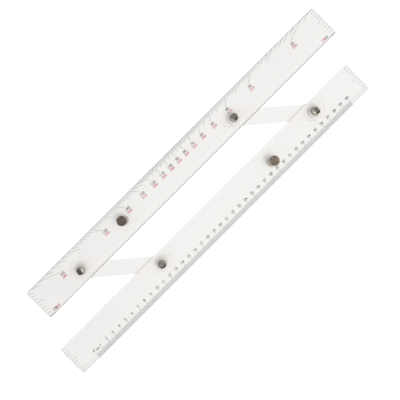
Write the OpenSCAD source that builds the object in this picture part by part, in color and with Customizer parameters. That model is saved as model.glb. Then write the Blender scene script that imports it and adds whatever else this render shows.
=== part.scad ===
// Folding parallel plotter: two clear rules that stay parallel on two clear links.
// X runs along the rules, Y from the scale rule towards the protractor rule, Z up from the chart.
// The origin is on the chart, midway between the rules, and half a turn about Z swaps them.

/* [Rules] */
// Length of each rule
rule_length = 450; // [400:1:600]
// Width of each rule
rule_width = 37.5; // [30:0.5:60]
// Thickness of each rule
rule_thickness = 3; // [2.6:0.1:5]
// Corner radius of the rules, seen from above
rule_corner_r = 0.8; // [0.2:0.1:3]
// Chamfer that breaks the long top edges of the rules
rule_edge_break = 0.5; // [0.1:0.05:0.6]
// Width of the bevel along the centimetre edge
bevel_width = 7; // [4:0.5:10]
// Height of the centimetre edge under its bevel
bevel_edge_height = 1.2; // [0.8:0.1:1.8]
// Chamfer that breaks the centimetre edge
bevel_edge_break = 0.3; // [0.1:0.05:0.5]

/* [Linkage] */
// Distance between the two pivots of a link
link_pitch = 90; // [70:1:110]
// Angle between the links and the rules in the pose drawn here
opening_angle = 40.5; // [25:0.5:90]
// Gap between the two rules when they are shut
shut_gap = 0.5; // [0.2:0.1:2]
// Distance from a rule's inner edge to its row of pivots
pivot_inset = 12.5; // [11:0.5:14]
// Distance from a rule's middle to its nearer pivot
near_pivot_x = 76; // [60:1:85]

/* [Links] */
// Width of each link
link_width = 18; // [14:0.5:22]
// Thickness of each link
link_thickness = 2.5; // [2:0.1:4]
// Length of a link past its pivot
link_overhang = 11.8; // [10:0.2:15]
// Corner radius of the links, seen from above
link_corner_r = 3; // [1:0.5:5]
// Chamfer that breaks the long edges of the links
link_edge_break = 0.25; // [0.1:0.05:0.5]

/* [Pivot posts] */
// Diameter of the grip of a post
post_d = 8; // [7:0.1:9]
// Height of the grip of a post
post_height = 7; // [7:0.5:14]
// Height of the chamfer round the top of a post
post_top_chamfer = 1.1; // [0.2:0.1:1.6]
// Width of that chamfer, seen from above
post_top_chamfer_width = 1.45; // [0.3:0.05:2]
// Width of the lip round the foot of a post
post_lip = 0.6; // [0.3:0.1:0.8]
// Height of that lip
post_lip_height = 0.8; // [0.5:0.1:1.5]
// Diameter of the shoulder that a link turns on
shoulder_d = 5; // [4.4:0.1:6]

/* [Lift knobs] */
// Distance from a rule's middle to its lift knob
knob_x = 90.6; // [75:0.2:110]
// Height of a lift knob above its rule
knob_height = 13; // [11:0.5:18]
// Diameter of the fluted head
knob_head_d = 11.8; // [10.4:0.1:14]
// Height of the fluted head
knob_head_height = 7; // [4:0.5:8]
// Diameter of the foot
knob_foot_d = 10.6; // [9.6:0.1:12]
// Height of the foot
knob_foot_height = 1.4; // [1:0.1:2.5]
// Diameter of the waist between the foot and the head
knob_waist_d = 7.6; // [6:0.1:7.8]
// Number of flutes round the head
knob_flutes = 22; // [12:1:30]
// Depth of each flute
knob_flute_depth = 0.45; // [0.2:0.05:0.6]
// Chamfer round the top and the bottom of the head
knob_chamfer = 0.8; // [0.6:0.1:1.5]

/* [Washers] */
// Diameter of the spacer between a rule and a link
spacer_d = 10; // [8:0.5:12]
// Thickness of that spacer
spacer_thickness = 0.5; // [0.3:0.1:1]
// Diameter of the pale washer between a link and a post
washer_d = 12.6; // [10:0.1:14]
// Thickness of that washer
washer_thickness = 0.8; // [0.6:0.1:1.5]
// Chamfer round the top of the washer
washer_chamfer = 0.25; // [0.1:0.05:0.4]

/* [Screws] */
// Diameter of every screw
screw_d = 3; // [2.5:0.1:3.2]
// Diameter of the countersunk head
screw_head_d = 5.6; // [5:0.1:6]
// Depth of the head below the underside of the rule
screw_recess = 0.2; // [0.1:0.05:0.4]
// Length of thread inside a post or a knob
thread_grip = 6; // [4.5:0.5:7]
// Width of the driver slot
slot_width = 0.8; // [0.5:0.1:1]
// Depth of the driver slot
slot_depth = 0.6; // [0.4:0.1:0.8]

/* [Clearances] */
// Gap all round between a link or washer and the shoulder
running_clearance = 0.05; // [0.02:0.01:0.1]
// Gap above and below a link
end_play = 0.05; // [0.02:0.01:0.1]
// Gap all round between a screw and its thread
thread_clearance = 0.05; // [0.02:0.01:0.1]
// Gap all round between a screw and the rule that it passes through
hole_clearance = 0.15; // [0.05:0.05:0.3]

/* [Hidden] */
$fn = 96;

// The pivots stand off the middle line of their rule, on the side of the other rule.
pivot_offset = rule_width / 2 - pivot_inset;
// When the rules are shut, the links lean by this much across and reach the rest along the rules.
shut_rise = 2 * pivot_inset + shut_gap;
// The far pivot lies so that the ends of the rules are flush when they are shut.
far_pivot_x = near_pivot_x + sqrt(link_pitch * link_pitch - shut_rise * shut_rise);

// Middle of the scale rule in this pose: each link spans from one rule's row of pivots to the other's.
scale_middle = [
    (link_pitch * cos(opening_angle) - (far_pivot_x - near_pivot_x)) / 2,
    -link_pitch * sin(opening_angle) / 2 - pivot_offset
];
// Places on the scale rule, from the origin
scale_left = scale_middle + [-near_pivot_x, pivot_offset];
scale_right = scale_middle + [far_pivot_x, pivot_offset];
scale_knob_place = scale_middle + [knob_x, 0];
// Half a turn about the origin gives the places on the protractor rule.
protractor_left = -scale_right;
protractor_right = -scale_left;
protractor_knob_place = -scale_knob_place;

// Heights in the stack on a pivot, from the chart up
spacer_top_z = rule_thickness + spacer_thickness;
link_z = spacer_top_z + end_play;
washer_z = link_z + link_thickness + end_play;
grip_z = washer_z + washer_thickness;
post_top_z = grip_z + post_height;

shoulder_hole_d = shoulder_d + 2 * running_clearance;
thread_hole_d = screw_d + 2 * thread_clearance;
rule_hole_d = screw_d + 2 * hole_clearance;
// A countersunk head has a cone of 90 degrees, so it is as deep as it is wide of the shank on one side.
screw_head_height = (screw_head_d - screw_d) / 2;
// The thread stops short of the bottom of its hole by this much.
thread_hole_spare = 0.5;
// A flute's radius as a share of the pitch between flutes, which leaves a land between them
flute_share = 0.42;
// A small cone left on a turned end by the lathe's centre
centre_mark_d = 0.9;
// Extra length of a cut past the face that it opens
cut = 1;

// Plan of a plate with rounded corners, centred
module rounded_plan(length, width, radius) {
    square([length - 2 * radius, width], center = true);
    square([length, width - 2 * radius], center = true);
    for (x = [-1, 1], y = [-1, 1]) {
        translate([x * (length / 2 - radius), y * (width / 2 - radius)]) circle(r = radius);
    }
}

// A plate of the given plan, cut to a section that is drawn across it, as [Y, Z] points
module profiled_plate(length, width, thickness, radius, section) {
    intersection() {
        linear_extrude(height = thickness) rounded_plan(length, width, radius);
        rotate([90, 0, 90]) linear_extrude(height = length + 2 * cut, center = true) polygon(section);
    }
}

// Hole for a screw from below, with a seat for its countersunk head
module countersunk_hole() {
    seat_z = screw_recess + screw_head_height;
    mouth_r = screw_head_d / 2 + hole_clearance;
    rotate_extrude() polygon([
        [0, -cut], [mouth_r, -cut], [mouth_r, screw_recess], [rule_hole_d / 2, seat_z],
        [rule_hole_d / 2, rule_thickness + cut], [0, rule_thickness + cut]
    ]);
}

// One clear rule about its own middle, with its outer edge towards -Y
module clear_rule(section) {
    difference() {
        profiled_plate(rule_length, rule_width, rule_thickness, rule_corner_r, section);
        translate([-near_pivot_x, pivot_offset, 0]) countersunk_hole();
        translate([far_pivot_x, pivot_offset, 0]) countersunk_hole();
        translate([knob_x, 0, 0]) countersunk_hole();
    }
}

// Square section of the protractor rule
plain_section = [
    [-rule_width / 2, 0], [rule_width / 2, 0],
    [rule_width / 2, rule_thickness - rule_edge_break], [rule_width / 2 - rule_edge_break, rule_thickness],
    [-rule_width / 2 + rule_edge_break, rule_thickness], [-rule_width / 2, rule_thickness - rule_edge_break]
];
// How far the bevel rises across its width
bevel_rise = rule_thickness - bevel_edge_height;
// Section of the scale rule, which thins towards its centimetre edge
bevelled_section = [
    [-rule_width / 2, 0], [rule_width / 2, 0],
    [rule_width / 2, rule_thickness - rule_edge_break], [rule_width / 2 - rule_edge_break, rule_thickness],
    [-rule_width / 2 + bevel_width, rule_thickness],
    [-rule_width / 2 + bevel_edge_break, bevel_edge_height + bevel_rise * bevel_edge_break / bevel_width],
    [-rule_width / 2, bevel_edge_height - bevel_edge_break]
];

module scale_rule() {
    color([0.9, 0.93, 0.93, 0.6]) translate(scale_middle) clear_rule(bevelled_section);
}

module protractor_rule() {
    color([0.9, 0.93, 0.93, 0.6]) rotate(180) translate(scale_middle) clear_rule(plain_section);
}

// One clear link from its upper pivot on the protractor rule to its lower pivot on the scale rule
module clear_link(upper_pivot) {
    section = [
        [-link_width / 2, link_edge_break], [-link_width / 2 + link_edge_break, 0],
        [link_width / 2 - link_edge_break, 0], [link_width / 2, link_edge_break],
        [link_width / 2, link_thickness - link_edge_break],
        [link_width / 2 - link_edge_break, link_thickness],
        [-link_width / 2 + link_edge_break, link_thickness],
        [-link_width / 2, link_thickness - link_edge_break]
    ];
    color([0.88, 0.92, 0.93, 0.6]) translate([upper_pivot[0], upper_pivot[1], link_z]) rotate(-opening_angle)
    difference() {
        translate([link_pitch / 2, 0, 0])
        profiled_plate(link_pitch + 2 * link_overhang, link_width, link_thickness, link_corner_r, section);
        for (x = [0, link_pitch]) {
            translate([x, 0, -cut]) cylinder(d = shoulder_hole_d, h = link_thickness + 2 * cut);
        }
    }
}

module left_link() {
    clear_link(protractor_left);
}

module right_link() {
    clear_link(protractor_right);
}

// Thin spacer between a rule and a link
module spacer(place) {
    color("ivory") translate([place[0], place[1], rule_thickness]) difference() {
        cylinder(d = spacer_d, h = spacer_thickness);
        translate([0, 0, -cut]) cylinder(d = shoulder_hole_d, h = spacer_thickness + 2 * cut);
    }
}

// Pale washer between a link and the foot of a post
module washer(place) {
    color("ivory") translate([place[0], place[1], washer_z]) rotate_extrude() polygon([
        [shoulder_hole_d / 2, 0], [washer_d / 2, 0], [washer_d / 2, washer_thickness - washer_chamfer],
        [washer_d / 2 - washer_chamfer, washer_thickness], [shoulder_hole_d / 2, washer_thickness]
    ]);
}

// Turned post: shoulder through the link, tapped hole from below, plain grip with a lip round its foot
module pivot_post(place) {
    hole_top_z = rule_thickness + thread_grip + thread_hole_spare;
    lip_top_z = grip_z + post_lip_height;
    lip_r = post_d / 2 + post_lip;
    lip_chamfer = 0.2;
    color("silver") translate([place[0], place[1], 0]) rotate_extrude() polygon([
        [thread_hole_d / 2, rule_thickness], [shoulder_d / 2, rule_thickness], [shoulder_d / 2, grip_z],
        [lip_r, grip_z], [lip_r, lip_top_z - lip_chamfer], [lip_r - lip_chamfer, lip_top_z],
        [post_d / 2, lip_top_z],
        [post_d / 2, post_top_z - post_top_chamfer], [post_d / 2 - post_top_chamfer_width, post_top_z],
        [centre_mark_d / 2, post_top_z], [0, post_top_z - centre_mark_d / 2],
        [0, hole_top_z + thread_hole_d / 2], [thread_hole_d / 2, hole_top_z]
    ]);
}

// Screw from below, through the rule and up into a post or a knob
module countersunk_screw(place) {
    head_top_z = screw_recess + screw_head_height;
    tip_z = rule_thickness + thread_grip;
    tip_chamfer = 0.4;
    color("gainsboro") translate([place[0], place[1], 0]) difference() {
        rotate_extrude() polygon([
            [0, screw_recess], [screw_head_d / 2, screw_recess], [screw_d / 2, head_top_z],
            [screw_d / 2, tip_z - tip_chamfer], [screw_d / 2 - tip_chamfer, tip_z], [0, tip_z]
        ]);
        translate([0, 0, screw_recess + slot_depth / 2 - cut / 2])
        cube([screw_head_d + cut, slot_width, slot_depth + cut], center = true);
    }
}

// Turned knob to lift and press its rule with: a foot, a waist and a fluted head
module lift_knob(place) {
    top_z = rule_thickness + knob_height;
    head_z = top_z - knob_head_height;
    foot_top_z = rule_thickness + knob_foot_height;
    waist_blend = 0.8;
    hole_top_z = rule_thickness + thread_grip + thread_hole_spare;
    flute_r = knob_head_d * sin(180 / knob_flutes) * flute_share;
    flute_centre_r = knob_head_d / 2 - knob_flute_depth + flute_r;
    color("dimgray") translate([place[0], place[1], 0]) difference() {
        rotate_extrude() polygon([
            [thread_hole_d / 2, rule_thickness], [knob_foot_d / 2, rule_thickness],
            [knob_foot_d / 2, foot_top_z - waist_blend / 2], [knob_foot_d / 2 - waist_blend / 2, foot_top_z],
            [knob_waist_d / 2 + waist_blend / 2, foot_top_z], [knob_waist_d / 2, foot_top_z + waist_blend / 2],
            [knob_waist_d / 2, head_z - waist_blend / 2], [knob_waist_d / 2 + waist_blend / 2, head_z],
            [knob_head_d / 2 - knob_chamfer, head_z], [knob_head_d / 2, head_z + knob_chamfer],
            [knob_head_d / 2, top_z - knob_chamfer], [knob_head_d / 2 - knob_chamfer, top_z],
            [centre_mark_d / 2, top_z], [0, top_z - centre_mark_d / 2],
            [0, hole_top_z + thread_hole_d / 2], [thread_hole_d / 2, hole_top_z]
        ]);
        for (i = [0 : knob_flutes - 1]) {
            rotate(i * 360 / knob_flutes) translate([flute_centre_r, 0, head_z - cut])
            cylinder(r = flute_r, h = knob_head_height + 2 * cut, $fn = 24);
        }
    }
}

module protractor_left_spacer() {
    spacer(protractor_left);
}

module protractor_right_spacer() {
    spacer(protractor_right);
}

module scale_left_spacer() {
    spacer(scale_left);
}

module scale_right_spacer() {
    spacer(scale_right);
}

module protractor_left_washer() {
    washer(protractor_left);
}

module protractor_right_washer() {
    washer(protractor_right);
}

module scale_left_washer() {
    washer(scale_left);
}

module scale_right_washer() {
    washer(scale_right);
}

module protractor_left_post() {
    pivot_post(protractor_left);
}

module protractor_right_post() {
    pivot_post(protractor_right);
}

module scale_left_post() {
    pivot_post(scale_left);
}

module scale_right_post() {
    pivot_post(scale_right);
}

module protractor_left_screw() {
    countersunk_screw(protractor_left);
}

module protractor_right_screw() {
    countersunk_screw(protractor_right);
}

module scale_left_screw() {
    countersunk_screw(scale_left);
}

module scale_right_screw() {
    countersunk_screw(scale_right);
}

module protractor_knob() {
    lift_knob(protractor_knob_place);
}

module scale_knob() {
    lift_knob(scale_knob_place);
}

module protractor_knob_screw() {
    countersunk_screw(protractor_knob_place);
}

module scale_knob_screw() {
    countersunk_screw(scale_knob_place);
}

protractor_rule();
scale_rule();
left_link();
right_link();
protractor_left_spacer();
protractor_right_spacer();
scale_left_spacer();
scale_right_spacer();
protractor_left_washer();
protractor_right_washer();
scale_left_washer();
scale_right_washer();
protractor_left_post();
protractor_right_post();
scale_left_post();
scale_right_post();
protractor_left_screw();
protractor_right_screw();
scale_left_screw();
scale_right_screw();
protractor_knob();
scale_knob();
protractor_knob_screw();
scale_knob_screw();
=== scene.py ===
"""Looks of a folding parallel plotter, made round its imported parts.

Two clear acrylic rules stay parallel on two clear links. Polished posts stand on the four pivots and a
fluted knob stands on each rule. Every part gets its finish here, the protractor and the centimetre
scale are printed on the rules, and a plain pale studio is set up with the camera straight above.
Sizes are in metres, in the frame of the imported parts: X along the rules, Z up from the chart.
"""

import logging
import math
from dataclasses import dataclass, field
from enum import Enum

import bmesh
import bpy
from mathutils import Matrix, Vector


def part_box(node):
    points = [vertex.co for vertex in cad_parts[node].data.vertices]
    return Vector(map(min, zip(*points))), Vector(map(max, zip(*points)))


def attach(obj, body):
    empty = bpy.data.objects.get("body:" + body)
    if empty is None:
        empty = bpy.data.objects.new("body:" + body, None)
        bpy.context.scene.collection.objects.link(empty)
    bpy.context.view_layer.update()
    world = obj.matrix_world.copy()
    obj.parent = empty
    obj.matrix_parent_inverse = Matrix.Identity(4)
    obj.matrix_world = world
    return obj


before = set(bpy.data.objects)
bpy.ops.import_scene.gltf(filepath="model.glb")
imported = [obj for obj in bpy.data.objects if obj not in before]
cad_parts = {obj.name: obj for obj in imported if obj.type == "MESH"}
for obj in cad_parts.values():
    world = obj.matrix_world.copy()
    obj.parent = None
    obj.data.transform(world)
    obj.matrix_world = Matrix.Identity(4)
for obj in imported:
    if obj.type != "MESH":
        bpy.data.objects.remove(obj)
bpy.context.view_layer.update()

MM = 0.001
HALF_TURN = 180
WHITE = (1.0, 1.0, 1.0, 1.0)
LOG = logging.getLogger("plotter")

Colour = tuple[float, float, float]
Point = tuple[float, float]


class Body(Enum):
    """The rigid bodies that the print rides on."""

    PROTRACTOR_SIDE = "protractor_side"
    SCALE_SIDE = "scale_side"


class Ink(Enum):
    """The two inks of the print, by the name of their material slot."""

    BLACK = "black_print"
    RED = "red_print"


class Pivot(Enum):
    """The four pivots, by the start of their parts' names."""

    PROTRACTOR_LEFT = "protractor_left"
    PROTRACTOR_RIGHT = "protractor_right"
    SCALE_LEFT = "scale_left"
    SCALE_RIGHT = "scale_right"


class Side(Enum):
    """The two rules' sides, by the start of their knobs' names."""

    PROTRACTOR = "protractor"
    SCALE = "scale"


class NodeSheet:
    """A shader node tree with short calls that add nodes and join them."""

    def __init__(self, tree: bpy.types.NodeTree) -> None:
        """Start on an empty tree.

        Args:
            tree: The node tree of a material, a world or a node group.
        """
        tree.nodes.clear()
        self.tree = tree

    def node(self, kind: str, **settings: object) -> bpy.types.Node:
        """Add a node.

        Args:
            kind: The node's type, such as ShaderNodeMath.
            **settings: Properties to set on it, such as operation="ADD".

        Returns:
            The new node.
        """
        made = self.tree.nodes.new(kind)
        for name, value in settings.items():
            setattr(made, name, value)
        return made

    def feed(self, socket: bpy.types.NodeSocket, source: object) -> None:
        """Join an output to an input, or set the input's own value.

        Args:
            socket: The input.
            source: An output socket, a number or a tuple of numbers.
        """
        if isinstance(source, bpy.types.NodeSocket):
            self.tree.links.new(source, socket)
        else:
            socket.default_value = source

    def maths(self, operation: str, *values: object, clamp: bool = False) -> bpy.types.NodeSocket:
        """Add a Math node.

        Args:
            operation: The operation's name.
            *values: Its inputs, as sockets or numbers.
            clamp: Whether the result is held between 0 and 1.

        Returns:
            The result's socket.
        """
        made = self.node("ShaderNodeMath", operation=operation, use_clamp=clamp)
        for socket, value in zip(made.inputs, values):
            self.feed(socket, value)
        return made.outputs[0]

    def vector(self, operation: str, *values: object) -> bpy.types.NodeSocket:
        """Add a Vector Math node.

        Args:
            operation: The operation's name.
            *values: Its inputs, as sockets or tuples.

        Returns:
            The socket of the vector that results.
        """
        made = self.node("ShaderNodeVectorMath", operation=operation)
        for socket, value in zip(made.inputs, values):
            self.feed(socket, value)
        return made.outputs["Vector"]

    def split(self, vector: bpy.types.NodeSocket) -> tuple[bpy.types.NodeSocket, ...]:
        """Split a vector into its three numbers.

        Args:
            vector: The vector's socket.

        Returns:
            The sockets of X, Y and Z.
        """
        made = self.node("ShaderNodeSeparateXYZ")
        self.feed(made.inputs[0], vector)
        return tuple(made.outputs)

    def ramp(self, value: object, low: float, high: float, start: float = 0.0, end: float = 1.0,
             smooth: bool = True) -> bpy.types.NodeSocket:
        """Map one range of numbers to another, held at both ends.

        Args:
            value: The number that goes in.
            low: The input that gives start.
            high: The input that gives end.
            start: The result at low.
            end: The result at high.
            smooth: Whether the change eases in and out.

        Returns:
            The result's socket.
        """
        made = self.node("ShaderNodeMapRange", interpolation_type="SMOOTHSTEP" if smooth else "LINEAR")
        for name, number in zip(("Value", "From Min", "From Max", "To Min", "To Max"),
                                (value, low, high, start, end)):
            self.feed(made.inputs[name], number)
        return made.outputs["Result"]

    def blend(self, factor: object, first: object, second: object) -> bpy.types.NodeSocket:
        """Blend two numbers.

        Args:
            factor: The share of the second number.
            first: The first number.
            second: The second number.

        Returns:
            The blended number's socket.
        """
        made = self.node("ShaderNodeMix", data_type="FLOAT")
        numbers = [s for s in made.inputs if s.type == "VALUE"]
        for socket, value in zip(numbers, (factor, first, second)):
            self.feed(socket, value)
        return next(s for s in made.outputs if s.type == "VALUE")

    def mix(self, factor: object, first: object, second: object) -> bpy.types.NodeSocket:
        """Mix two colours.

        Args:
            factor: The share of the second colour.
            first: The first colour, as a socket or three numbers.
            second: The second colour, likewise.

        Returns:
            The mixed colour's socket.
        """
        made = self.node("ShaderNodeMix", data_type="RGBA")
        colours = [s for s in made.inputs if s.type == "RGBA"]
        self.feed(made.inputs["Factor"], factor)
        for socket, colour in zip(colours, (first, second)):
            self.feed(socket, (*colour, 1.0) if isinstance(colour, tuple) else colour)
        return next(s for s in made.outputs if s.type == "RGBA")

    def noise(self, vector: object, scale: object, detail: float = 2.0,
              roughness: float = 0.5) -> bpy.types.NodeSocket:
        """Add a 3-D noise.

        Args:
            vector: Where it is read, as a socket.
            scale: Its scale, as a socket or a number.
            detail: How many finer layers it has.
            roughness: How strong those are.

        Returns:
            The socket of its value, about 0.5 on average.
        """
        made = self.node("ShaderNodeTexNoise")
        self.feed(made.inputs["Vector"], vector)
        self.feed(made.inputs["Scale"], scale)
        self.feed(made.inputs["Detail"], detail)
        self.feed(made.inputs["Roughness"], roughness)
        return made.outputs[0]

    def line_noise(self, place: object, detail: float = 1.0) -> bpy.types.NodeSocket:
        """Add a noise along one number.

        Args:
            place: Where it is read.
            detail: How many finer layers it has.

        Returns:
            The socket of its value.
        """
        made = self.node("ShaderNodeTexNoise", noise_dimensions="1D")
        self.feed(made.inputs["W"], place)
        self.feed(made.inputs["Scale"], 1.0)
        self.feed(made.inputs["Detail"], detail)
        return made.outputs[0]

    def group(self, tree: bpy.types.NodeTree, **values: object) -> bpy.types.Node:
        """Place a node group.

        Args:
            tree: The group.
            **values: Its inputs by name, with spaces written as underscores.

        Returns:
            The group's node.
        """
        made = self.node("ShaderNodeGroup", node_tree=tree)
        for name, value in values.items():
            self.feed(made.inputs[name.replace("_", " ")], value)
        return made

    def bump(self, height: bpy.types.NodeSocket, depth: float,
             strength: float = 1.0) -> bpy.types.NodeSocket:
        """Turn a height into a normal.

        Args:
            height: The height's socket, from 0 to 1.
            depth: The depth that a height of 1 stands for.
            strength: How much of it shows.

        Returns:
            The normal's socket.
        """
        made = self.node("ShaderNodeBump")
        self.feed(made.inputs["Strength"], strength)
        self.feed(made.inputs["Distance"], depth)
        self.feed(made.inputs["Height"], height)
        return made.outputs["Normal"]


class SurfaceEffects:
    """The node groups that several finishes share."""

    sector_scale = 1.6
    scratch_layers = ((0.35, 0.03), (-1.1, 0.05))
    scratch_gain = 12.0
    smudge_range = (0.42, 0.68)
    faces_away = 0.4
    lies_level = 0.99
    saw_stretch = (1.0, 1.0, 0.08)
    saw_density = 2600.0

    def __init__(self) -> None:
        """Build each group once."""
        self.lathe_marks = self._lathe_marks()
        self.hairlines = self._hairlines()
        self.smudges = self._smudges()
        self.plate_edges = self._plate_edges()
        self.grain = self._grain()

    @staticmethod
    def _open(name: str, takes: dict[str, str], gives: dict[str, str]) -> tuple[NodeSheet, dict, dict]:
        """Open a new group.

        Args:
            name: The group's name.
            takes: Its inputs, each with its kind of socket.
            gives: Its outputs, likewise.

        Returns:
            The group's sheet, the sockets of its inputs and the sockets that take its outputs.
        """
        tree = bpy.data.node_groups.new(name, "ShaderNodeTree")
        sheet = NodeSheet(tree)
        for label, kind in takes.items():
            tree.interface.new_socket(label, in_out="INPUT", socket_type=kind)
        for label, kind in gives.items():
            tree.interface.new_socket(label, in_out="OUTPUT", socket_type=kind)
        source, result = sheet.node("NodeGroupInput"), sheet.node("NodeGroupOutput")
        return sheet, {k: source.outputs[k] for k in takes}, {k: result.inputs[k] for k in gives}

    def _lathe_marks(self) -> bpy.types.NodeTree:
        """Build the rings that a lathe leaves, and sectors for a painted sheen that copies the light such
        rings throw.

        Returns:
            The group, which takes the part's size and the rings' pitch.
        """
        sheet, takes, gives = self._open(
            "lathe_marks", {"Size": "NodeSocketVector", "Pitch": "NodeSocketFloat"},
            {"Rings": "NodeSocketFloat", "Painted Sheen": "NodeSocketFloat"})
        box = sheet.node("ShaderNodeTexCoord").outputs["Generated"]
        place = sheet.vector("MULTIPLY", sheet.vector("SUBTRACT", box, (0.5, 0.5, 0.0)), takes["Size"])
        x, y, z = sheet.split(place)
        flat = sheet.node("ShaderNodeCombineXYZ")
        sheet.feed(flat.inputs[0], x)
        sheet.feed(flat.inputs[1], y)
        length = sheet.node("ShaderNodeVectorMath", operation="LENGTH")
        sheet.feed(length.inputs[0], flat.outputs[0])
        travel = sheet.maths("DIVIDE", sheet.maths("ADD", length.outputs["Value"], z), takes["Pitch"])
        sheet.feed(gives["Rings"], sheet.line_noise(travel, detail=2.0))
        way = sheet.vector("NORMALIZE", flat.outputs[0])
        sheet.feed(gives["Painted Sheen"], sheet.noise(way, self.sector_scale, roughness=0.6))
        return sheet.tree

    def _hairlines(self) -> bpy.types.NodeTree:
        """Build sparse fine scratches in two directions.

        Returns:
            The group, which takes how many lie across a metre.
        """
        sheet, takes, gives = self._open(
            "hairline_scratches", {"Density": "NodeSocketFloat", "Share": "NodeSocketFloat"},
            {"Scratches": "NodeSocketFloat"})
        place = sheet.node("ShaderNodeTexCoord").outputs["Object"]
        layers = []
        for turn, stretch in self.scratch_layers:
            laid = sheet.node("ShaderNodeMapping")
            sheet.feed(laid.inputs["Vector"], place)
            sheet.feed(laid.inputs["Rotation"], (0.0, 0.0, turn))
            sheet.feed(laid.inputs["Scale"], (stretch, 1.0, 1.0))
            layers.append(sheet.noise(laid.outputs[0], takes["Density"], detail=1.0))
        strongest = sheet.maths("MAXIMUM", *layers)
        least = sheet.maths("SUBTRACT", 1.0, takes["Share"])
        over = sheet.maths("SUBTRACT", strongest, least)
        sheet.feed(gives["Scratches"], sheet.maths("MULTIPLY", over, self.scratch_gain, clamp=True))
        return sheet.tree

    def _smudges(self) -> bpy.types.NodeTree:
        """Build the soft uneven gloss of a handled surface.

        Returns:
            The group, which takes the smudges' scale.
        """
        sheet, takes, gives = self._open(
            "smudges", {"Scale": "NodeSocketFloat"}, {"Smudge": "NodeSocketFloat"})
        place = sheet.node("ShaderNodeTexCoord").outputs["Object"]
        cloud = sheet.noise(place, takes["Scale"], detail=4.0, roughness=0.6)
        sheet.feed(gives["Smudge"], sheet.ramp(cloud, *self.smudge_range))
        return sheet.tree

    def _plate_edges(self) -> bpy.types.NodeTree:
        """Build masks of a clear plate's edges and bevel, with fine saw lines along Z.

        Returns:
            The group, which takes how far up a face may look and still be an edge.
        """
        sheet, takes, gives = self._open(
            "plate_edges", {"Steepness": "NodeSocketFloat"},
            {"Edge": "NodeSocketFloat", "Far": "NodeSocketFloat", "Bevel": "NodeSocketFloat",
             "Saw": "NodeSocketFloat"})
        coordinates = sheet.node("ShaderNodeTexCoord")
        _, side, up = sheet.split(coordinates.outputs["Normal"])
        edge = sheet.maths("LESS_THAN", sheet.maths("ABSOLUTE", up), takes["Steepness"])
        sheet.feed(gives["Edge"], edge)
        away = sheet.maths("GREATER_THAN", side, self.faces_away)
        sheet.feed(gives["Far"], sheet.maths("MULTIPLY", edge, away))
        sloped = sheet.maths("LESS_THAN", sheet.maths("ABSOLUTE", up), self.lies_level)
        sheet.feed(gives["Bevel"], sheet.maths("SUBTRACT", sloped, edge))
        laid = sheet.vector("MULTIPLY", coordinates.outputs["Object"], self.saw_stretch)
        sheet.feed(gives["Saw"], sheet.noise(laid, self.saw_density))
        return sheet.tree

    def _grain(self) -> bpy.types.NodeTree:
        """Build a fine even grain.

        Returns:
            The group, which takes how many grains lie across a metre.
        """
        sheet, takes, gives = self._open(
            "fine_grain", {"Density": "NodeSocketFloat"}, {"Grain": "NodeSocketFloat"})
        place = sheet.node("ShaderNodeTexCoord").outputs["Object"]
        sheet.feed(gives["Grain"], sheet.noise(place, takes["Density"], detail=3.0, roughness=0.6))
        return sheet.tree


@dataclass(frozen=True)
class Finish:
    """A surface finish that becomes one material."""

    name: str

    def material(self, effects: SurfaceEffects) -> bpy.types.Material:
        """Make the material.

        Args:
            effects: The shared node groups.

        Returns:
            The finished material.
        """
        made = bpy.data.materials.new(self.name)
        made.use_nodes = True
        sheet = NodeSheet(made.node_tree)
        output = sheet.node("ShaderNodeOutputMaterial")
        sheet.feed(output.inputs["Surface"], self.surface(sheet, effects))
        return made

    def surface(self, sheet: NodeSheet, effects: SurfaceEffects) -> bpy.types.NodeSocket:
        """Build the finish's nodes.

        Args:
            sheet: The material's nodes.
            effects: The shared node groups.

        Returns:
            The shader's socket.
        """
        raise NotImplementedError


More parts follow.
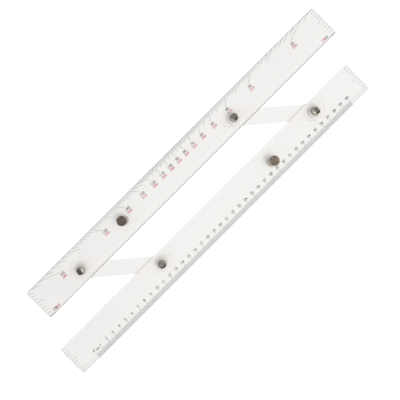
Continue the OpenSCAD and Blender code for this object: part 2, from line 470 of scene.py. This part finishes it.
@dataclass(frozen=True)
class ClearAcrylic(Finish):
    """Clear cast acrylic with sawn edges, faint scratches and the smudges of use.

    Its colour carries painted shade: dark lines on the edge faces, chosen by the side they face, and a
    darker bevel, both for how light falls there. Light that is still trapped in it after way_out bounces
    goes straight on and leaves it.
    """

    tint: Colour
    # painted shade: dark lines painted on the edge faces, painted_far_edge on those turned away from the
    # key light and painted_near_edge on the rest
    painted_near_edge: Colour
    painted_far_edge: Colour
    edge_shade: Colour = (0.08, 0.08, 0.08)
    lamp_tint: Colour = (0.99, 0.99, 0.99)
    # painted shade: the sloped bevel is coloured darker for how light falls on it
    painted_bevel_shade: Colour = (0.85, 0.84, 0.82)
    way_out: float = 4.5
    roughness: float = 0.015
    edge_roughness: float = 0.3
    refraction: float = 1.49
    edge_steepness: float = 0.85
    scratch_density: float = 420.0
    scratch_share: float = 0.3
    scratch_wear: float = 0.05
    scratch_dip: float = -0.2
    smudge_scale: float = 38.0
    smudge_wear: float = 0.02
    relief: float = 0.02 * MM
    relief_strength: float = 0.6

    def surface(self, sheet: NodeSheet, effects: SurfaceEffects) -> bpy.types.NodeSocket:
        """Build the acrylic, which lets lamps through to what lies under it.

        Args:
            sheet: The material's nodes.
            effects: The shared node groups.

        Returns:
            The shader's socket.
        """
        edges = sheet.group(effects.plate_edges, Steepness=self.edge_steepness).outputs
        lines = sheet.group(effects.hairlines, Density=self.scratch_density, Share=self.scratch_share)
        scratches = lines.outputs[0]
        smudge = sheet.group(effects.smudges, Scale=self.smudge_scale).outputs[0]
        clear = sheet.node("ShaderNodeBsdfPrincipled")
        sheet.feed(clear.inputs["Transmission Weight"], 1.0)
        sheet.feed(clear.inputs["IOR"], self.refraction)
        # painted shade: the edge faces take a dark colour chosen by the side they face
        painted_edge_shade = sheet.mix(edges["Far"], self.painted_near_edge, self.painted_far_edge)
        # the acrylic's own tint, with painted shade on the bevel
        tint_and_bevel_shade = sheet.mix(edges["Bevel"], self.tint, self.painted_bevel_shade)
        sheet.feed(clear.inputs["Base Color"], sheet.mix(edges["Edge"], tint_and_bevel_shade, painted_edge_shade))
        worn = sheet.maths("ADD", sheet.maths("MULTIPLY", smudge, self.smudge_wear), self.roughness)
        worn = sheet.maths("ADD", worn, sheet.maths("MULTIPLY", scratches, self.scratch_wear))
        rough_edge = sheet.maths("MULTIPLY", edges["Edge"], self.edge_roughness)
        sheet.feed(clear.inputs["Roughness"], sheet.maths("ADD", worn, rough_edge))
        saw = sheet.maths("MULTIPLY", edges["Saw"], edges["Edge"])
        height = sheet.maths("ADD", saw, sheet.maths("MULTIPLY", scratches, self.scratch_dip))
        sheet.feed(clear.inputs["Normal"], sheet.bump(height, self.relief, self.relief_strength))
        passed = sheet.node("ShaderNodeBsdfTransparent")
        outside = sheet.maths("SUBTRACT", 1.0, sheet.node("ShaderNodeNewGeometry").outputs["Backfacing"])
        shaded = sheet.maths("MULTIPLY", edges["Far"], outside)
        sheet.feed(passed.inputs["Color"], sheet.mix(shaded, self.lamp_tint, self.edge_shade))
        path = sheet.node("ShaderNodeLightPath")
        lamp = sheet.maths("MAXIMUM", path.outputs["Is Shadow Ray"], path.outputs["Is Diffuse Ray"])
        trapped = sheet.maths("GREATER_THAN", path.outputs["Ray Depth"], self.way_out)
        straight_on = sheet.maths("MAXIMUM", lamp, trapped)
        blend = sheet.node("ShaderNodeMixShader")
        sheet.feed(blend.inputs[0], straight_on)
        sheet.feed(blend.inputs[1], clear.outputs[0])
        sheet.feed(blend.inputs[2], passed.outputs[0])
        return blend.outputs[0]


@dataclass(frozen=True)
class TurnedSteel(Finish):
    """Steel turned on a lathe: fine rings, sectors of painted sheen, the smudges of use and rubbed sides.
    """

    bright: Colour
    dark: Colour
    size: tuple[float, float, float]
    roughness: float
    ring_depth: float
    pitch: float = 0.12 * MM
    wear: float = 0.1
    rubbed: Colour | None = None
    rubbed_range: tuple[float, float] = (0.62, 0.35)
    tone_and_sheen_range: tuple[float, float] = (0.35, 0.65)
    smudge_scale: float = 260.0
    scratch_density: float = 1500.0
    scratch_share: float = 0.34

    def surface(self, sheet: NodeSheet, effects: SurfaceEffects) -> bpy.types.NodeSocket:
        """Build the steel.

        Args:
            sheet: The material's nodes.
            effects: The shared node groups.

        Returns:
            The shader's socket.
        """
        marks = sheet.group(effects.lathe_marks, Size=self.size, Pitch=self.pitch).outputs
        smudge = sheet.group(effects.smudges, Scale=self.smudge_scale).outputs[0]
        lines = sheet.group(effects.hairlines, Density=self.scratch_density, Share=self.scratch_share)
        steel = sheet.node("ShaderNodeBsdfPrincipled")
        sheet.feed(steel.inputs["Metallic"], 1.0)
        # painted sheen: the colour swings from dark to bright with the angle round the axis, for the
        # sectors of reflected light on turned faces
        painted_sheen = sheet.ramp(marks["Painted Sheen"], *self.tone_and_sheen_range)
        colour = sheet.mix(painted_sheen, self.dark, self.bright)
        if self.rubbed:
            _, _, up = sheet.split(sheet.node("ShaderNodeTexCoord").outputs["Normal"])
            colour = sheet.mix(sheet.ramp(up, *self.rubbed_range), colour, self.rubbed)
        sheet.feed(steel.inputs["Base Color"], colour)
        worn = sheet.maths("ADD", sheet.maths("MULTIPLY", smudge, self.wear), self.roughness)
        worn = sheet.maths("ADD", worn, sheet.maths("MULTIPLY", lines.outputs[0], self.wear))
        sheet.feed(steel.inputs["Roughness"], worn)
        sheet.feed(steel.inputs["Normal"], sheet.bump(marks["Rings"], self.ring_depth))
        return steel.outputs[0]


@dataclass(frozen=True)
class MattePlastic(Finish):
    """Plastic, or ink: a plain colour with a fine grain."""

    pale: Colour
    deep: Colour
    roughness: float
    density: float
    relief: float
    tone_and_sheen_range: tuple[float, float] = (0.35, 0.65)
    gloss_range: tuple[float, float] = (0.3, 0.7)
    dulling: float = 0.12
    relief_strength: float = 0.5

    def surface(self, sheet: NodeSheet, effects: SurfaceEffects) -> bpy.types.NodeSocket:
        """Build the plastic or the ink.

        Args:
            sheet: The material's nodes.
            effects: The shared node groups.

        Returns:
            The shader's socket.
        """
        grain = sheet.group(effects.grain, Density=self.density).outputs[0]
        body = sheet.node("ShaderNodeBsdfPrincipled")
        share = sheet.ramp(grain, *self.tone_and_sheen_range)
        sheet.feed(body.inputs["Base Color"], sheet.mix(share, self.deep, self.pale))
        dull = self.roughness + self.dulling
        sheet.feed(body.inputs["Roughness"], sheet.ramp(grain, *self.gloss_range, self.roughness, dull))
        sheet.feed(body.inputs["Normal"], sheet.bump(grain, self.relief, self.relief_strength))
        return body.outputs[0]


@dataclass(frozen=True)
class ChartPaper(Finish):
    """The plain white floor, which keeps the plotter's soft shadow."""

    albedo: float = 0.8
    glow: float = 0.5
    glow_in_part: float = 0.215
    density: float = 900.0
    grain_tone: float = 0.004

    def surface(self, sheet: NodeSheet, effects: SurfaceEffects) -> bpy.types.NodeSocket:
        """Build the floor, which looks white to the camera and in metal and glass.

        Args:
            sheet: The material's nodes.
            effects: The shared node groups.

        Returns:
            The shader's socket.
        """
        grain = sheet.group(effects.grain, Density=self.density).outputs[0]
        paper = sheet.node("ShaderNodeBsdfDiffuse")
        low, high = self.albedo - self.grain_tone, self.albedo + self.grain_tone
        sheet.feed(paper.inputs["Color"], sheet.mix(grain, (low,) * 3, (high,) * 3))
        path = sheet.node("ShaderNodeLightPath").outputs
        within = sheet.maths("MAXIMUM", path["Is Glossy Ray"], path["Is Transmission Ray"])
        direct = sheet.maths("MULTIPLY", path["Is Camera Ray"], self.glow)
        glow = sheet.node("ShaderNodeEmission")
        strength = sheet.maths("ADD", direct, sheet.maths("MULTIPLY", within, self.glow_in_part))
        sheet.feed(glow.inputs["Strength"], strength)
        both = sheet.node("ShaderNodeAddShader")
        sheet.feed(both.inputs[0], paper.outputs[0])
        sheet.feed(both.inputs[1], glow.outputs[0])
        return both.outputs[0]


class FigureCutter:
    """Numerals as thin closed plates in the built-in typeface, each cut once."""

    curve_steps = 3
    half_thickness = 0.5

    def __init__(self, boldness: float) -> None:
        """Set the weight of the figures.

        Args:
            boldness: How far the outlines are thickened, as a share of the type size.
        """
        self.boldness = boldness
        self.plates: dict[str, bpy.types.Mesh] = {}
        self.figure_height = max(v.co.y for v in self.plate("1").vertices)

    def plate(self, text: str) -> bpy.types.Mesh:
        """Cut a number or a mark, centred in X, on its base line, one unit thick and type size one.

        Args:
            text: What it says.

        Returns:
            The plate's mesh.
        """
        if text not in self.plates:
            curve = bpy.data.curves.new(f"figure_{text}", "FONT")
            curve.body = text
            curve.align_x = "CENTER"
            curve.resolution_u = self.curve_steps
            curve.offset = self.boldness
            curve.extrude = self.half_thickness
            carrier = bpy.data.objects.new(curve.name, curve)
            bpy.context.scene.collection.objects.link(carrier)
            bpy.context.view_layer.update()
            shown = carrier.evaluated_get(bpy.context.evaluated_depsgraph_get())
            self.plates[text] = bpy.data.meshes.new_from_object(shown)
            bpy.data.objects.remove(carrier)
            bpy.data.curves.remove(curve)
        return self.plates[text]

    def discard(self) -> None:
        """Remove the plates when the printing is done."""
        for mesh in self.plates.values():
            bpy.data.meshes.remove(mesh)


@dataclass
class PrintFace:
    """The underside of a rule, which lies on the chart, in plan about the rule's own middle."""

    node: str
    body: Body

    def __post_init__(self) -> None:
        """Read the rule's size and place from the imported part."""
        low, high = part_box(self.node)
        self.middle = (Vector(low) + Vector(high)) / 2
        self.half_length = (high[0] - low[0]) / 2
        self.half_width = (high[1] - low[1]) / 2
        self.height = low[2]


@dataclass
class InkLayer:
    """All print of one ink on one rule, as closed strokes and figures in one mesh."""

    face: PrintFace
    ink: Ink
    cutter: FigureCutter
    depth: float = 0.02 * MM
    stands_out: float = 0.005 * MM
    weld: float = 0.0004 * MM
    strokes: int = 0
    figures: int = 0
    mesh: bmesh.types.BMesh = field(default_factory=bmesh.new)

    def _station(self, place: Vector, half: Vector) -> list[bmesh.types.BMVert]:
        """Add the four corners of a stroke at one place.

        Args:
            place: The place, in plan.
            half: From the place to one side of the stroke, in plan.

        Returns:
            The corners: low and high on one side, then high and low on the other.
        """
        low, high = self.face.height - self.stands_out, self.face.height + self.depth
        corners = []
        for side, level in ((-1, low), (-1, high), (1, high), (1, low)):
            spot = place + half * side
            corners.append(self.mesh.verts.new((spot.x, spot.y, level)))
        return corners

    def stroke(self, start: Point, end: Point, width: float, cut: Point) -> None:
        """Print a straight stroke.

        Args:
            start: Its outer end, in plan.
            end: Its inner end.
            width: Its width.
            cut: The direction in which its ends are cut off, such as along the rule's edge.
        """
        a, b = Vector(start), Vector(end)
        run, across = (b - a).normalized(), Vector(cut).normalized()
        half = across * (width / 2 / abs(run.x * across.y - run.y * across.x))
        first, last = self._station(a, half), self._station(b, half)
        for i in range(4):
            j = (i + 1) % 4
            self.mesh.faces.new((first[i], first[j], last[j], last[i]))
        self.mesh.faces.new(first)
        self.mesh.faces.new(last)
        self.strokes += 1

    def figure(self, text: str, x: float, y: float, height: float) -> None:
        """Print a number or a mark upright.

        Args:
            text: What it says.
            x: The place of its middle.
            y: The middle of the row of figures.
            height: The height of a figure.
        """
        size = height / self.cutter.figure_height
        depth = self.depth + self.stands_out
        rise = self.face.height + self.depth - depth / 2
        place = Matrix.Translation((x, y - height / 2, rise)) @ Matrix.Diagonal((size, size, depth, 1.0))
        plate = self.cutter.plate(text).copy()
        plate.transform(place)
        self.mesh.from_mesh(plate)
        bpy.data.meshes.remove(plate)
        self.figures += 1

    def piece(self, name: str, material: bpy.types.Material) -> None:
        """Turn the layer into a piece that rides on its rule.

        Args:
            name: The piece's name.
            material: The ink.
        """
        bmesh.ops.remove_doubles(self.mesh, verts=self.mesh.verts, dist=self.weld)
        bmesh.ops.recalc_face_normals(self.mesh, faces=self.mesh.faces)
        middle = self.face.middle
        bmesh.ops.translate(self.mesh, verts=self.mesh.verts, vec=(middle.x, middle.y, 0.0))
        data = bpy.data.meshes.new(name)
        self.mesh.to_mesh(data)
        self.mesh.free()
        data.materials.append(material)
        made = bpy.data.objects.new(name, data)
        bpy.context.scene.collection.objects.link(made)
        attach(made, self.face.body.value)
        LOG.info("%s: %d strokes, %d figures, %d faces",
                 name, self.strokes, self.figures, len(data.polygons))


@dataclass
class DegreeMarks:
    """Rays of a protractor, printed where they meet a rule's outer edge and its ends."""

    centre_y: float
    angles: range
    on_long_edge: tuple[float, float, float] = (4.0 * MM, 6.3 * MM, 9.3 * MM)
    on_short_edge: tuple[float, float, float] = (4.6 * MM, 8.2 * MM, 9.3 * MM)
    width: float = 0.24 * MM
    margin: float = 0.3 * MM

    def depth(self, angle: int, depths: tuple[float, float, float]) -> float:
        """Choose how deep a mark goes.

        Args:
            angle: The ray's angle in degrees.
            depths: The depths of a single degree, a fifth and a tenth.

        Returns:
            The depth, square to the edge.
        """
        if angle % 10 == 0:
            return depths[2]
        return depths[1] if angle % 5 == 0 else depths[0]

    def place(self, angle: float, depth: float, face: PrintFace) -> tuple[Point, Point]:
        """Find where a ray lies at a depth below the edge that it meets.

        Args:
            angle: The ray's angle in degrees.
            depth: The depth below that edge.
            face: The rule's face.

        Returns:
            The place in plan, and the direction of the edge.
        """
        sine, cosine = math.sin(math.radians(angle)), math.cos(math.radians(angle))
        rise = face.half_width - self.centre_y
        if rise * abs(cosine) <= face.half_length * sine:
            reach, edge = (rise - depth) / sine, (1.0, 0.0)
        else:
            reach, edge = (face.half_length - depth) / abs(cosine), (0.0, 1.0)
        return (reach * cosine, self.centre_y + reach * sine), edge

    def print_on(self, layer: InkLayer) -> None:
        """Print every mark.

        Args:
            layer: The ink to print with.
        """
        face = layer.face
        for angle in self.angles:
            start, edge = self.place(angle, self.margin, face)
            depths = self.on_long_edge if edge[0] else self.on_short_edge
            end, _ = self.place(angle, self.depth(angle, depths), face)
            least = self.margin - face.half_width
            if end[1] < least:
                share = (least - start[1]) / (end[1] - start[1])
                end = (start[0] + (end[0] - start[0]) * share, least)
            layer.stroke(start, end, self.width, edge)


@dataclass
class ProtractorRule:
    """The rule with the protractor: radial marks and two rows of numbers, black and red."""

    effects: SurfaceEffects
    finish: ClearAcrylic
    cutter: FigureCutter
    first_angle: int = 10
    last_angle: int = 170
    shut_gap: float = 0.5 * MM
    figure_height: float = 3.0 * MM
    black_row: float = 12.1 * MM
    red_row: float = 15.9 * MM
    corner_row: float = 3.4 * MM
    left_corner: tuple[float, float] = (9.9 * MM, 13.9 * MM)
    right_corner: tuple[float, float] = (11.2 * MM, 15.4 * MM)

    def dress(self) -> None:
        """Give the rule its acrylic."""
        dress_node("protractor_rule", self.finish.material(self.effects))

    def print_scales(self, inks: dict[Ink, bpy.types.Material]) -> None:
        """Print the protractor.

        Args:
            inks: The material of each ink.
        """
        face = PrintFace("protractor_rule", Body.PROTRACTOR_SIDE)
        layers = {ink: InkLayer(face, ink, self.cutter) for ink in Ink}
        both_rules = 4 * face.half_width
        centre_y = face.half_width - both_rules - self.shut_gap
        marks = DegreeMarks(centre_y, range(self.first_angle, self.last_angle + 1))
        marks.print_on(layers[Ink.BLACK])
        for angle in range(self.first_angle + 10, self.last_angle, 10):
            (x, _), _ = marks.place(angle, marks.on_long_edge[2], face)
            self._pair(layers, angle, x, face.half_width - self.black_row, face.half_width - self.red_row)
        low = self.corner_row - face.half_width
        corners = ((self.last_angle, self.left_corner, -1), (self.first_angle, self.right_corner, 1))
        for angle, (black, red), side in corners:
            for ink, text, inset in ((Ink.BLACK, angle, black), (Ink.RED, angle + HALF_TURN, red)):
                place = side * (face.half_length - inset)
                layers[ink].figure(str(text), place, low, self.figure_height)
        for ink, layer in layers.items():
            layer.piece(f"protractor_{ink.value}", inks[ink])

    def _pair(self, layers: dict[Ink, InkLayer], angle: int, x: float, upper: float,
              lower: float) -> None:
        """Print an angle in black and its reverse in red under it.

        Args:
            layers: The layer of each ink.
            angle: The angle in degrees.
            x: The middle of both numbers.
            upper: The black number's row.
            lower: The red number's row.
        """
        layers[Ink.BLACK].figure(str(angle), x, upper, self.figure_height)
        layers[Ink.RED].figure(str(angle + HALF_TURN), x, lower, self.figure_height)


@dataclass
class ScaleRule:
    """The rule with the bevelled centimetre edge."""

    effects: SurfaceEffects
    finish: ClearAcrylic
    cutter: FigureCutter
    centimetres: int = 40
    millimetre_mark: float = 5.3 * MM
    half_mark: float = 6.3 * MM
    centimetre_mark: float = 8.0 * MM
    mark_width: float = 0.24 * MM
    margin: float = 0.12 * MM
    figure_height: float = 3.0 * MM
    figure_row: float = 10.3 * MM
    unit_row: float = 9.4 * MM
    unit_place: float = 5.1 * MM
    end_angles: tuple[range, range] = (range(1, 10), range(171, 180))

    def dress(self) -> None:
        """Give the rule its acrylic."""
        dress_node("scale_rule", self.finish.material(self.effects))

    def print_scales(self, inks: dict[Ink, bpy.types.Material]) -> None:
        """Print the centimetre scale and the degree marks at both ends.

        Args:
            inks: The material of each ink.
        """
        face = PrintFace("scale_rule", Body.SCALE_SIDE)
        layer = InkLayer(face, Ink.BLACK, self.cutter)
        edge, start = -face.half_width, -self.centimetres * 10 * MM / 2
        for count in range(self.centimetres * 10 + 1):
            x = start + count * MM
            length = self.millimetre_mark
            if count % 5 == 0:
                length = self.centimetre_mark if count % 10 == 0 else self.half_mark
            layer.stroke((x, edge + self.margin), (x, edge + length), self.mark_width, (1.0, 0.0))
            if count % 10 == 0:
                layer.figure(str(count // 10), x, edge + self.figure_row, self.figure_height)
        layer.figure("cm", start + self.unit_place, edge + self.unit_row, self.figure_height)
        for angles in self.end_angles:
            DegreeMarks(edge, angles).print_on(layer)
        layer.piece("scale_black_print", inks[Ink.BLACK])


@dataclass
class LinkPair:
    """The two clear links."""

    effects: SurfaceEffects
    finish: ClearAcrylic

    def dress(self) -> None:
        """Give both links their acrylic."""
        material = self.finish.material(self.effects)
        for arm in ("left_link", "right_link"):
            dress_node(arm, material)


@dataclass
class PivotStack:
    """What is stacked on one pivot: spacer, washer, post and the screw from below."""

    pivot: Pivot

    def dress(self, materials: dict[str, bpy.types.Material]) -> None:
        """Give each part of the stack its finish.

        Args:
            materials: The material of each kind of part.
        """
        for kind in ("spacer", "washer", "post", "screw"):
            dress_node(f"{self.pivot.value}_{kind}", materials[kind])


@dataclass
class LiftKnob:
    """A fluted knob and its screw."""

    side: Side

    def dress(self, materials: dict[str, bpy.types.Material]) -> None:
        """Give the knob and its screw their finish.

        Args:
            materials: The material of each kind of part.
        """
        dress_node(f"{self.side.value}_knob", materials[f"{self.side.value}_knob"])
        dress_node(f"{self.side.value}_knob_screw", materials["screw"])


@dataclass
class Studio:
    """A plain pale studio: white floor, soft surround, one soft key light and the camera above."""

    camera_place: tuple[float, float, float] = (-5.55 * MM, -8.54 * MM, 443.0 * MM)
    camera_turn: float = -45.0
    lens: float = 35.56
    floor_half: float = 3.0
    floor_drop: float = 0.05 * MM
    surround: tuple[float, float] = (1.12, 0.5)
    overhead: tuple[float, float] = (0.36, 0.21)
    overhead_left: float = 0.4
    overhead_right: float = 0.68
    horizon: float = 0.27
    dark_side: float = 0.03
    key_place: tuple[float, float, float] = (0.1, -0.36, 1.03)
    key_size: float = 0.45
    key_power: float = 4.9
    left_fade: tuple[float, float] = (-0.34, -0.2)
    right_fade: tuple[float, float] = (0.2, 0.36)
    overhead_fade: tuple[float, float] = (-0.13, 0.1)
    surround_fade: tuple[float, float] = (-0.5, 0.5)
    surround_rise: tuple[float, float] = (0.4, 0.65)
    ceiling_rise: tuple[float, float] = (0.86, 0.93)
    dark_rise: tuple[float, float] = (0.52, 0.38)
    dark_fade: tuple[float, float] = (-0.4, -0.65)
    ground_rise: tuple[float, float] = (-0.02, 0.02)
    clip: tuple[float, float] = (0.01, 20.0)

    def build(self, effects: SurfaceEffects) -> None:
        """Build floor, surround, light and camera.

        Args:
            effects: The shared node groups.
        """
        self._floor(effects)
        self._surround()
        self._key_light()
        self._camera()
        bpy.context.scene.view_settings.view_transform = "Standard"
        LOG.info("studio: floor, surround, key light and camera")

    def _floor(self, effects: SurfaceEffects) -> None:
        """Lay the floor just under the rules.

        Args:
            effects: The shared node groups.
        """
        half, drop = self.floor_half, -self.floor_drop
        data = bpy.data.meshes.new("floor")
        corners = [(-half, -half, drop), (half, -half, drop), (half, half, drop), (-half, half, drop)]
        data.from_pydata(corners, [], [(0, 1, 2, 3)])
        data.materials.append(ChartPaper("chart_paper").material(effects))
        floor = bpy.data.objects.new("floor", data)
        bpy.context.scene.collection.objects.link(floor)

    def _surround(self) -> None:
        """Light the object from all round: pale sides, grey ceiling and horizon, one dark low side."""
        world = bpy.data.worlds.new("surround")
        bpy.context.scene.world = world
        world.use_nodes = True
        sheet = NodeSheet(world.node_tree)
        x, y, z = sheet.split(sheet.node("ShaderNodeTexCoord").outputs["Generated"])
        left = sheet.ramp(x, *self.left_fade, self.overhead_left, 1.0)
        right = sheet.ramp(x, *self.right_fade, 1.0, self.overhead_right)
        ceiling = sheet.maths("MULTIPLY", sheet.ramp(y, *self.overhead_fade, *self.overhead), left)
        ceiling = sheet.maths("MULTIPLY", ceiling, right)
        surround = sheet.ramp(y, *self.surround_fade, *self.surround)
        level = sheet.blend(sheet.ramp(z, *self.surround_rise), self.horizon, surround)
        level = sheet.blend(sheet.ramp(z, *self.ceiling_rise), level, ceiling)
        low = sheet.maths("MULTIPLY", sheet.ramp(z, *self.dark_rise), sheet.ramp(y, *self.dark_fade))
        level = sheet.blend(low, level, self.dark_side)
        light = sheet.node("ShaderNodeBackground")
        above = sheet.ramp(z, *self.ground_rise)
        sheet.feed(light.inputs["Strength"], sheet.maths("MULTIPLY", level, above))
        sheet.feed(light.inputs["Color"], WHITE)
        white = sheet.node("ShaderNodeBackground")
        sheet.feed(white.inputs["Color"], WHITE)
        choice = sheet.node("ShaderNodeMixShader")
        path = sheet.node("ShaderNodeLightPath").outputs
        seen = sheet.maths("MAXIMUM", path["Is Camera Ray"], path["Is Transmission Ray"])
        sheet.feed(choice.inputs[0], seen)
        sheet.feed(choice.inputs[1], light.outputs[0])
        sheet.feed(choice.inputs[2], white.outputs[0])
        output = sheet.node("ShaderNodeOutputWorld")
        sheet.feed(output.inputs["Surface"], choice.outputs[0])

    def _key_light(self) -> None:
        """Hang the key light on the side of the centimetre edge, with no image of it in the parts."""
        lamp = bpy.data.lights.new("key", "AREA")
        lamp.shape = "SQUARE"
        lamp.size = self.key_size
        lamp.energy = self.key_power
        holder = bpy.data.objects.new("key", lamp)
        holder.visible_glossy = False
        holder.visible_transmission = False
        holder.location = self.key_place
        holder.rotation_mode = "QUATERNION"
        holder.rotation_quaternion = (-Vector(self.key_place)).to_track_quat("-Z", "Y")
        bpy.context.scene.collection.objects.link(holder)

    def _camera(self) -> None:
        """Set the camera straight above, turned so that the rules run up to the right."""
        data = bpy.data.cameras.new("camera")
        data.lens = self.lens
        data.clip_start, data.clip_end = self.clip
        camera = bpy.data.objects.new("camera", data)
        camera.location = self.camera_place
        camera.rotation_euler = (0.0, 0.0, math.radians(self.camera_turn))
        bpy.context.scene.collection.objects.link(camera)
        bpy.context.scene.camera = camera


def dress_node(name: str, material: bpy.types.Material) -> None:
    """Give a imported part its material.

    Args:
        name: The part's name.
        material: Its material.
    """
    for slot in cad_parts[name].material_slots:
        slot.material = material
    LOG.info("%s: %s", name, material.name)


def turned_size(name: str) -> tuple[float, float, float]:
    """Read a turned part's size, for its rings.

    Args:
        name: The part's name.

    Returns:
        Its size along X, Y and Z.
    """
    low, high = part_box(name)
    return tuple(b - a for a, b in zip(low, high))


def part_materials(effects: SurfaceEffects) -> dict[str, bpy.types.Material]:
    """Make the finishes of the turned parts, the washers and the spacers.

    Args:
        effects: The shared node groups.

    Returns:
        The material of each kind of part.
    """
    # grey is the dark end of the posts' painted sheen; rubbed is the colour of the knobs' rubbed sides
    chrome, grey, rubbed = (0.84, 0.77, 0.68), (0.77, 0.705, 0.62), (0.72, 0.66, 0.58)
    finishes = {
        "post": TurnedSteel("polished_post", bright=chrome, dark=grey,
                            size=turned_size("scale_left_post"), roughness=0.07,
                            ring_depth=0.0015 * MM, wear=0.05),
        "washer": MattePlastic("pale_washer", pale=(0.88, 0.87, 0.84), deep=(0.82, 0.81, 0.78),
                               roughness=0.35, density=2500.0, relief=0.005 * MM),
        "screw": TurnedSteel("screw_steel", bright=(0.68, 0.68, 0.67), dark=(0.6, 0.6, 0.59),
                             size=turned_size("scale_left_screw"), roughness=0.25, ring_depth=0.003 * MM),
        # The knobs share one steel: the protractor knob's copy is painted darker and the scale knob's
        # lighter, for the light each catches; each copy's two colours are the ends of the painted sheen
        "protractor_knob": TurnedSteel("knob_steel_shaded_copy", bright=(0.49, 0.415, 0.345),
                                       dark=(0.295, 0.25, 0.213), size=turned_size("protractor_knob"),
                                       roughness=0.32, ring_depth=0.004 * MM, rubbed=rubbed),
        "scale_knob": TurnedSteel("knob_steel_lit_copy", bright=(0.7, 0.565, 0.44), dark=(0.42, 0.335, 0.26),
                                  size=turned_size("scale_knob"), roughness=0.32, ring_depth=0.004 * MM,
                                  rubbed=rubbed),
        "spacer": MattePlastic("nylon", pale=(0.9, 0.89, 0.85), deep=(0.84, 0.83, 0.78),
                               roughness=0.45, density=2500.0, relief=0.01 * MM),
    }
    return {kind: finish.material(effects) for kind, finish in finishes.items()}


def ink_materials(effects: SurfaceEffects) -> dict[Ink, bpy.types.Material]:
    """Make both inks.

    Args:
        effects: The shared node groups.

    Returns:
        The material of each ink.
    """
    finishes = {
        Ink.BLACK: MattePlastic("black_ink", pale=(0.035, 0.033, 0.033), deep=(0.015, 0.015, 0.015),
                                roughness=0.5, density=4000.0, relief=0.01 * MM),
        Ink.RED: MattePlastic("red_ink", pale=(0.75, 0.11, 0.16), deep=(0.66, 0.08, 0.13),
                              roughness=0.5, density=4000.0, relief=0.01 * MM),
    }
    return {ink: finish.material(effects) for ink, finish in finishes.items()}


def main() -> None:
    """Build the studio and dress and print every sub-assembly in order."""
    logging.basicConfig(level=logging.INFO, format="%(name)s: %(message)s")
    effects = SurfaceEffects()
    Studio().build(effects)
    parts, inks = part_materials(effects), ink_materials(effects)
    cutter = FigureCutter(boldness=0.012)
    # dark and grey are painted shade for the rules' edge faces; clear is the acrylic's own tint
    clear, dark, grey = (1.0, 0.985, 0.967), (0.02, 0.02, 0.02), (0.1, 0.1, 0.1)
    protractor_finish = ClearAcrylic("protractor_acrylic", tint=clear, painted_near_edge=dark, painted_far_edge=grey)
    scale_finish = ClearAcrylic("scale_acrylic", tint=clear, painted_near_edge=grey, painted_far_edge=clear,
                                edge_shade=(0.5, 0.5, 0.5))
    link_finish = ClearAcrylic("link_acrylic", tint=clear, painted_near_edge=clear, painted_far_edge=clear,
                               edge_shade=(0.92, 0.92, 0.92), lamp_tint=(0.998, 0.998, 0.998),
                               edge_roughness=0.05)
    for rule in (ProtractorRule(effects, protractor_finish, cutter),
                 ScaleRule(effects, scale_finish, cutter)):
        rule.dress()
        rule.print_scales(inks)
    cutter.discard()
    LinkPair(effects, link_finish).dress()
    for pivot in Pivot:
        PivotStack(pivot).dress(parts)
    for side in Side:
        LiftKnob(side).dress(parts)


if __name__ == "__main__":
    main()
